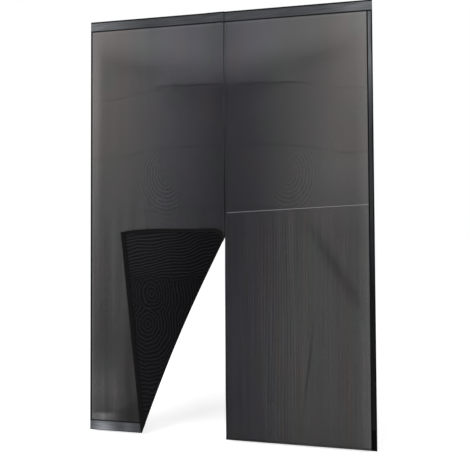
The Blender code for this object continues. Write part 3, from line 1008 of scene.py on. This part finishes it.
def stitchesOn(name, rowsOfStitches, look):
    # all the stitches of a band are one piece
    points = np.concatenate(rowsOfStitches)
    first = np.arange(len(points))[:, None, None] * stitch["rings"] * stitch["sides"]
    faces = []
    for part in tubeFaces(stitch["rings"], stitch["sides"]):
        faces += (part + first).reshape(-1, part.shape[1]).tolist()
    data = makeMesh(name, points, faces, [look])
    data.shade_smooth()
    makePiece(name, data)


def threadLook(name, level):
    # dark twisted sewing thread
    look = Look(name, 0.55, 0.3)
    x, y, z = look.place()
    twist = (x + z * 0.7).wave(0.0009)
    look.bump(twist, 0.0001)
    return look.set(Base_Color=look.tone(level * (0.75 + twist * 0.4), (1.0, 1.0, 1.03, 1.0)))


sewingThread = threadLook("sewing thread", 0.008)
for node, facts in bands.items():
    if node == "right_side_binding_foot":
        continue  # no stitches show on the short dark foot
    start, end = sorted((float(facts["rows"][0]), float(facts["rows"][-1])))
    places = np.arange(start + stitch["clearEnd"], end - stitch["clearEnd"], stitch["step"])
    away = facts["width"] - stitch["ribbedInset" if "ribs" in facts else "plainInset"]
    front = leafLift + wall / 2 + stitch["lift"]
    sewn = [stitchRow(facts["side"], facts["place"], away, places, lift)
            for lift in (front, -front)]
    stitchesOn(node + "_stitches", sewn, sewingThread)
print("stitches made")

# The light cross seam of the right panel: a flat-felled ridge that climbs a little to the right
seam = dict(start=(0.0092, 1.1540), end=(0.7218, 1.1900), width=0.0034, height=0.0011,
            rows=180, sides=16, sideStep=0.0006)


def crossSeam():
    # half-ellipse profile on both faces of the cloth, carried along the seam line
    share = np.linspace(0.0, 1.0, seam["rows"])
    run, climbed = np.subtract(seam["end"], seam["start"])
    x = seam["start"][0] + run * share
    height = seam["start"][1] + climbed * share
    angle = np.linspace(0.0, 2 * math.pi, seam["sides"] + 1)
    aside = seam["width"] / 2 * np.cos(angle)
    lift = seam["height"] / 2 * np.sin(angle)
    x = x[:, None] - aside[None] * (climbed / run)
    height = height[:, None] + aside[None]
    points = lifted(1, x, height, lift[None] + 0 * x)
    rows, columns = x.shape
    uv = np.stack([x, np.arange(columns)[None] * seam["sideStep"] + 0 * x], axis=-1)
    ring = np.arange(seam["sides"])
    caps = np.stack([ring, (rows - 1) * columns + ring[::-1]])
    faces = gridFaces(rows, columns).tolist() + caps.tolist()
    data = makeMesh("cross_seam", points, faces, [seamLook], uv)
    closeMesh(data, 1e-6)
    data.shade_smooth()
    makePiece("cross_seam", data)


def paleThread(name):
    # pale twisted thread, a little paler along its way
    look = Look(name, 0.6, 0.3)
    along, around = look.cloth()
    lay = (along + around * 2.0).wave(0.0016)
    look.bump(lay, 0.0002)
    level = 0.10 + lay * 0.05 + along.rise(0.0, 0.7, 0.0, 0.02)
    return look.set(Base_Color=look.tone(level, (1.0, 1.0, 1.05, 1.0)))


seamLook = paleThread("pale seam thread")
crossSeam()

# A thin strip behind the join of the two panels, above the turned corner
lap = dict(left=-0.0045, right=0.0070, top=2.1435, foot=1.060, lift=-0.0021, wall=0.0004)


def centreLap():
    # a flat grid that follows the right panel's back at a fixed lift
    x, height = np.meshgrid(steps(lap["left"], lap["right"], 0.002),
                            steps(lap["top"], lap["foot"], 0.010))
    grid = (lifted(1, x, height, lap["lift"] + 0 * x), np.stack([height, x + 0.02], axis=-1), 0)
    clothPiece("centre_lap", [grid], [lapLook], lap["wall"])


centreLap()


def hookLook(name):
    # the back of the tape: black backing with a faint peel-paper grain, hooks along its edge
    look = Look(name, 0.6, 0.35)
    x, y, z = look.place()
    grain = look.noise(x, z, 220.0, 220.0, 4.0)
    hooks = x.wave(0.0018) * z.wave(0.0018)
    look.bump(grain * 0.4 + hooks, 0.0003)
    level = 0.008 + grain * 0.006 + hooks * 0.004
    return look.set(Base_Color=look.tone(level, (1.0, 1.0, 1.04, 1.0)),
                    Roughness=0.5 + grain * 0.3)


tapeLook = hookLook("hook tape")
tape = dict(cornerRadius=0.004, cornerPoints=7, edgeInset=0.0004, edgeDrop=0.0003)


def tapePiece(node):
    # rounded outline in the CAD strip's box, set back by the same step on both faces
    low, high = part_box(node)
    radius = min(tape["cornerRadius"], (high.x - low.x) * 0.45, (high.z - low.z) * 0.45)
    angle = np.linspace(0.0, math.pi / 2, tape["cornerPoints"])
    corners = [(high.x - radius, high.z - radius, 0.0), (low.x + radius, high.z - radius, 0.5),
               (low.x + radius, low.z + radius, 1.0), (high.x - radius, low.z + radius, 1.5)]
    outline = np.concatenate([
        np.stack([cx + radius * np.cos(angle + turn * math.pi),
                  cz + radius * np.sin(angle + turn * math.pi)], axis=-1)
        for cx, cz, turn in corners])
    centre = np.array([(low.x + high.x) / 2, (low.z + high.z) / 2])
    inner = outline - np.sign(outline - centre) * tape["edgeInset"]
    drop = tape["edgeDrop"]
    levels = [(inner, high.y), (outline, high.y - drop), (outline, low.y + drop), (inner, low.y)]
    rings = np.concatenate([np.stack([ring[:, 0], np.full(len(ring), y), ring[:, 1]], axis=-1)
                            for ring, y in levels])
    around, caps = tubeFaces(len(levels), len(outline))
    data = makeMesh(node + "_strip", rings, around.tolist() + caps.tolist(), [tapeLook])
    closeMesh(data)
    makePiece(node + "_strip", data, node)


for node in ("lintel_hook_tape", "left_side_hook_tape", "right_side_hook_tape"):
    tapePiece(node)
print("seam and tapes made")

for side, cloth in ((-1, leftCloth), (1, rightCloth)):
    sewnOn = [bandPieces[node] for node, facts in bands.items() if facts["side"] == side]

# Floor, light and camera
room = dict(floorDrop=0.012, floorSize=60.0, floorLift=0.30, worldLevel=0.72, keyPower=150.0,
            fillPower=60.0)


def paleFloor():
    # one flat square under the screen's foot
    half = room["floorSize"] / 2
    low = bottomZ - room["floorDrop"]
    around = ((-half, -half), (half, -half), (half, half), (-half, half))
    data = bpy.data.meshes.new("floor")
    data.from_pydata([(x, y, low) for x, y in around], [], [(0, 1, 2, 3)])
    look = Look("pale floor", 0.9, 0.1)
    x, y, z = look.place()
    grain = look.noise(x, y, 60.0, 60.0)
    paint = look.tone(0.955 + grain * 0.03, (1.0, 1.0, 1.0, 1.0))
    look.set(Base_Color=paint)
    # the camera sees the same paint a little lighter, so that it meets the white behind it
    lighter = look.node("ShaderNodeBsdfPrincipled", {
        "Base Color": paint, "Roughness": 0.9, "Specular IOR Level": 0.1,
        "Emission Color": (1.0, 1.0, 1.0, 1.0), "Emission Strength": room["floorLift"]})
    seen = look.node("ShaderNodeLightPath", out="Is Camera Ray")
    plain = Wire(look, look.shader.outputs[0])
    both = look.node("ShaderNodeMixShader", {0: seen, 1: plain, 2: lighter})
    look.feed(look.tree.nodes["Material Output"].inputs[0], both)
    data.materials.append(look.made)
    floor = bpy.data.objects.new("floor", data)
    bpy.context.scene.collection.objects.link(floor)


def whiteWorld():
    # even white light; the camera, gloss and clear cloth see plain white
    world = bpy.data.worlds.new("studio")
    world.use_nodes = True
    bpy.context.scene.world = world
    tree = world.node_tree
    seen = tree.nodes.new("ShaderNodeLightPath")
    shown = tree.nodes.new("ShaderNodeBackground")
    lit = tree.nodes["Background"]
    for ground, level in ((lit, room["worldLevel"]), (shown, 1.0)):
        ground.inputs[0].default_value = (1.0, 1.0, 1.0, 1.0)
        ground.inputs[1].default_value = level
    share = seen.outputs["Is Camera Ray"]
    for ray in ("Is Glossy Ray", "Is Transmission Ray"):
        either = tree.nodes.new("ShaderNodeMath")
        either.operation = "MAXIMUM"
        tree.links.new(share, either.inputs[0])
        tree.links.new(seen.outputs[ray], either.inputs[1])
        share = either.outputs[0]
    both = tree.nodes.new("ShaderNodeMixShader")
    for number, output in enumerate((share, lit.outputs[0], shown.outputs[0])):
        tree.links.new(output, both.inputs[number])
    tree.links.new(both.outputs[0], tree.nodes["World Output"].inputs[0])


def softLamp(name, place, target, size, power):
    # a square lamp that faces its target
    data = bpy.data.lights.new(name, "AREA")
    data.size = size
    data.energy = power
    lamp = bpy.data.objects.new(name, data)
    lamp.location = place
    lamp.rotation_mode = "QUATERNION"
    lamp.rotation_quaternion = (Vector(target) - Vector(place)).to_track_quat("-Z", "Y")
    bpy.context.scene.collection.objects.link(lamp)


paleFloor()
whiteWorld()
softLamp("key", (-2.6, -3.6, 0.9), (0.0, 0.0, -1.0), 3.0, room["keyPower"])
softLamp("fill", (3.2, -3.0, 0.2), (0.0, 0.0, -1.1), 3.0, room["fillPower"])

# The camera stands to the right of the middle and looks a little left and up
view = dict(place=(0.725, -2.948, 1.126), yaw=12.43, pitch=1.69, roll=-0.30, focal=589.0,
            shift=(4.4, -34.2), imageSide=470, sensor=36.0)


def makeCamera():
    # turned by yaw, pitch and roll in degrees; focal length and shift are in the image's pixels
    yaw, pitch, roll = (math.radians(view[key]) for key in ("yaw", "pitch", "roll"))
    ahead = Vector((-math.sin(yaw) * math.cos(pitch), math.cos(yaw) * math.cos(pitch),
                    math.sin(pitch)))
    right = Vector((math.cos(yaw), math.sin(yaw), 0.0))
    up = right.cross(ahead)
    rolledRight = right * math.cos(roll) + up * math.sin(roll)
    rolledUp = up * math.cos(roll) - right * math.sin(roll)
    turn = Matrix((rolledRight, rolledUp, -ahead)).transposed()
    data = bpy.data.cameras.new("camera")
    data.sensor_width = view["sensor"]
    data.lens = view["focal"] / view["imageSide"] * view["sensor"]
    data.shift_x = -view["shift"][0] / view["imageSide"]
    data.shift_y = view["shift"][1] / view["imageSide"]
    camera = bpy.data.objects.new("camera", data)
    camera.matrix_world = Matrix.Translation(
        (view["place"][0], view["place"][1], view["place"][2] + bottomZ)) @ turn.to_4x4()
    bpy.context.scene.collection.objects.link(camera)
    bpy.context.scene.camera = camera


makeCamera()
bpy.context.scene.view_settings.view_transform = "Standard"
print("floor, light and camera made")
